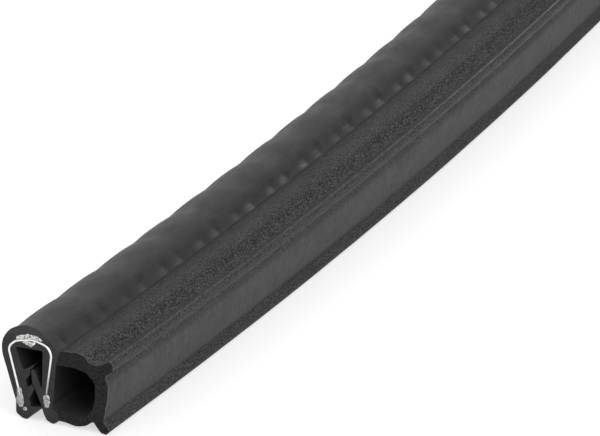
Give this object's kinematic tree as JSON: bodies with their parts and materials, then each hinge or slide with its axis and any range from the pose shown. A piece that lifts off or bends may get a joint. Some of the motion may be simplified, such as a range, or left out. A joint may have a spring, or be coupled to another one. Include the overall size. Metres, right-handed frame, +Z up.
{
  "type": "edge trim seal",
  "caption": "Black rubber edge trim strip: a wire-carried U channel that grips a panel edge, with a soft sponge bulb and fins along one side.",
  "frame": {"origin": "centre of the strip's bounding box at the level of its feet", "axes": "+Z up through the channel's crown, the channel opening downwards; at the near cut end the strip runs along +Y with the bulb at +X, and from there it bows gently towards -X"},
  "size_m": [0.3616, 0.9272, 0.0164],
  "materials": {
    "dense_rubber": "semi-matt extruded black rubber with fine lengthwise streaks",
    "sponge_rubber": "matt black sponge rubber with a fine skin and open pores where cut",
    "steel_wire": "bright drawn wire",
    "polyester_yarn": "off-white fuzzy yarn"
  },
  "bodies": {
    "root": {"grip_channel": "dense_rubber", "side_bulb": "sponge_rubber", "wire_carrier": "steel_wire", "crown_yarn_top": "polyester_yarn", "crown_yarn_under": "polyester_yarn", "left_edge_yarn": "polyester_yarn", "right_edge_yarn": "polyester_yarn"}
  },
  "joints": []
}
